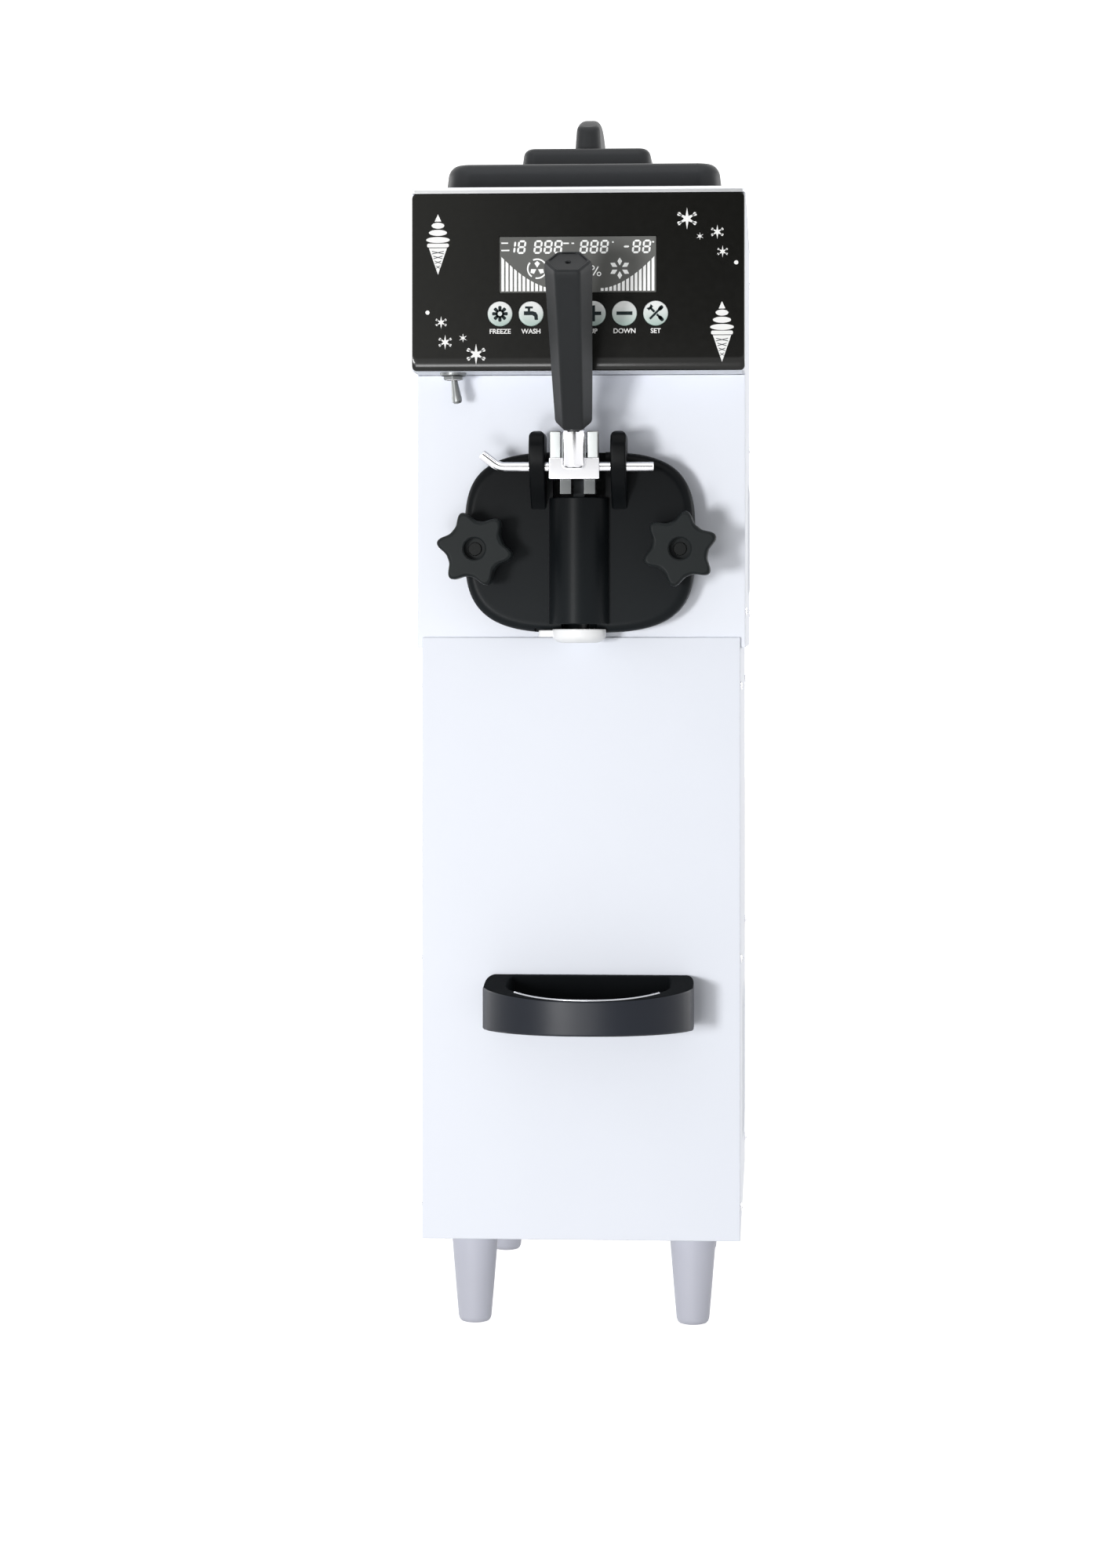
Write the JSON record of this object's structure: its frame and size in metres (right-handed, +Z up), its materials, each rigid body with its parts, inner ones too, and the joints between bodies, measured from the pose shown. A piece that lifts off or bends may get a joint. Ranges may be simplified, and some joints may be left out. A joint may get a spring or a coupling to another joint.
{
  "type": "ice cream maker",
  "caption": "Floor-standing soft-serve ice cream maker with a lidded hopper on top, control head, lever-drawn dispensing door with star knobs, drip tray and legs.",
  "frame": {"origin": "on the floor, under the middle of the whole machine's bounding box", "axes": "+Z up, front with the draw handle towards -Y, +X to the viewer's right when facing the front"},
  "size_m": [0.265, 0.6026, 0.996],
  "materials": {
    "white_paint": "powder coated, satin",
    "brushed_steel": "brushed stainless",
    "polished_steel": "polished stainless",
    "gloss_black": "gloss black panel film",
    "satin_black": "satin black moulded plastic",
    "charcoal": "fine matt moulded plastic",
    "display": "backlit liquid crystal panel behind a clear cover",
    "button_grey": "satin pale grey caps",
    "white_plastic": "white food grade plastic",
    "leg_grey": "pale grey moulded plastic",
    "zinc": "zinc plated steel",
    "foam": "rigid polyurethane foam",
    "rubber": "black rubber",
    "board_green": "solder mask",
    "cast_grey": "cast aluminium",
    "enamel_black": "black enamel",
    "fin_aluminium": "thin aluminium fins"
  },
  "bodies": {
    "machine": {"lower_front_panel": "white_paint", "lower_left_panel": "white_paint", "lower_right_panel": "white_paint", "upper_left_cover": "white_paint", "upper_right_cover": "white_paint", "upper_front_panel": "white_paint", "rear_panel": "white_paint", "head_casing": "white_paint", "top_deck": "brushed_steel", "hopper": "brushed_steel", "freezing_cylinder": "brushed_steel", "rear_bearing": "brushed_steel", "toggle_switch": "polished_steel", "control_fascia": "gloss_black", "power_inlet": "satin_black", "dispensing_door": "satin_black", "display_module": "display", "nozzle_cap": "white_plastic", "feed_tube": "white_plastic", "leg_front_left": "leg_grey", "leg_front_right": "leg_grey", "leg_rear_left": "leg_grey", "leg_rear_right": "leg_grey", "base_pan": "zinc", "motor_shelf": "zinc", "post_front_left": "zinc", "post_front_right": "zinc", "post_rear_left": "zinc", "post_rear_right": "zinc", "insulation_jacket": "foam", "door_seal": "rubber", "drive_belt": "rubber", "control_board": "board_green", "gearbox": "cast_grey", "compressor": "enamel_black", "beater_motor": "enamel_black", "fan_motor": "enamel_black", "door_stud_left": "enamel_black", "door_stud_right": "enamel_black", "condenser": "fin_aluminium"},
    "lid": {"hopper_lid": "charcoal", "lid_grip": "charcoal"},
    "draw_handle": {"draw_yoke": "polished_steel", "handle_grip": "charcoal"},
    "draw_valve": {"valve_plunger": "satin_black"},
    "handle_pin": {"pivot_pin": "polished_steel"},
    "left_knob": {"star_knob_left": "satin_black"},
    "right_knob": {"star_knob_right": "satin_black"},
    "power_toggle": {"toggle_lever": "polished_steel"},
    "beater": {"beater": "polished_steel"},
    "gearbox_pulley": {"gearbox_pulley": "cast_grey"},
    "motor_pulley": {"motor_pulley": "cast_grey"},
    "condenser_fan": {"fan_rotor": "satin_black"},
    "drip_tray": {"drip_tray": "satin_black"},
    "freeze_button": {"button_freeze": "button_grey"},
    "wash_button": {"button_wash": "button_grey"},
    "auto_button": {"button_auto": "button_grey"},
    "up_button": {"button_up": "button_grey"},
    "down_button": {"button_down": "button_grey"},
    "set_button": {"button_set": "button_grey"}
  },
  "joints": [
    {"name": "lid_lift", "type": "slide", "parent": "machine", "child": "lid", "axis": [0, 0, 1], "range_m": [0, 0.12]},
    {"name": "draw_handle_pull", "type": "hinge", "parent": "machine", "child": "draw_handle", "pos_m": [0, -0.1942, 0.694], "axis": [1, 0, 0], "range_deg": [0, 50]},
    {"name": "draw_valve_rise", "type": "slide", "parent": "machine", "child": "draw_valve", "axis": [0, 0, 1], "range_m": [0, 0.018]},
    {"name": "handle_pin_withdraw", "type": "slide", "parent": "machine", "child": "handle_pin", "axis": [-1, 0, 0], "range_m": [0, 0.11]},
    {"name": "left_knob_turn", "type": "hinge", "parent": "machine", "child": "left_knob", "pos_m": [-0.081, -0.1962, 0.629], "axis": [0, 1, 0], "continuous": true},
    {"name": "right_knob_turn", "type": "hinge", "parent": "machine", "child": "right_knob", "pos_m": [0.081, -0.1962, 0.629], "axis": [0, 1, 0], "continuous": true},
    {"name": "power_toggle_throw", "type": "hinge", "parent": "machine", "child": "power_toggle", "pos_m": [-0.101, -0.1712, 0.7704], "axis": [0, 1, 0], "range_deg": [0, 16]},
    {"name": "gearbox_pulley_spin", "type": "hinge", "parent": "machine", "child": "gearbox_pulley", "pos_m": [0, 0.2368, 0.629], "axis": [0, 1, 0], "continuous": true},
    {"name": "beater_spin", "type": "hinge", "parent": "machine", "child": "beater", "pos_m": [0, -0.0462, 0.629], "axis": [0, 1, 0], "continuous": true},
    {"name": "motor_pulley_spin", "type": "hinge", "parent": "machine", "child": "motor_pulley", "pos_m": [0, 0.2368, 0.47], "axis": [0, 1, 0], "continuous": true},
    {"name": "condenser_fan_spin", "type": "hinge", "parent": "machine", "child": "condenser_fan", "pos_m": [0, 0.1988, 0.205], "axis": [0, 1, 0], "continuous": true},
    {"name": "drip_tray_pull", "type": "slide", "parent": "machine", "child": "drip_tray", "axis": [0, -1, 0], "range_m": [0, 0.12]},
    {"name": "freeze_button_press", "type": "slide", "parent": "machine", "child": "freeze_button", "axis": [0, 1, 0], "range_m": [0, 0.0012], "stiffness_N_per_m": 400},
    {"name": "wash_button_press", "type": "slide", "parent": "machine", "child": "wash_button", "axis": [0, 1, 0], "range_m": [0, 0.0012], "stiffness_N_per_m": 400},
    {"name": "auto_button_press", "type": "slide", "parent": "machine", "child": "auto_button", "axis": [0, 1, 0], "range_m": [0, 0.0012], "stiffness_N_per_m": 400},
    {"name": "up_button_press", "type": "slide", "parent": "machine", "child": "up_button", "axis": [0, 1, 0], "range_m": [0, 0.0012], "stiffness_N_per_m": 400},
    {"name": "down_button_press", "type": "slide", "parent": "machine", "child": "down_button", "axis": [0, 1, 0], "range_m": [0, 0.0012], "stiffness_N_per_m": 400},
    {"name": "set_button_press", "type": "slide", "parent": "machine", "child": "set_button", "axis": [0, 1, 0], "range_m": [0, 0.0012], "stiffness_N_per_m": 400}
  ],
  "couplings": [
    {"joint": "draw_valve_rise", "follows": "draw_handle_pull", "m_per_rad": 0.02},
    {"joint": "beater_spin", "follows": "gearbox_pulley_spin", "ratio": 0.2},
    {"joint": "motor_pulley_spin", "follows": "gearbox_pulley_spin", "ratio": 2}
  ]
}
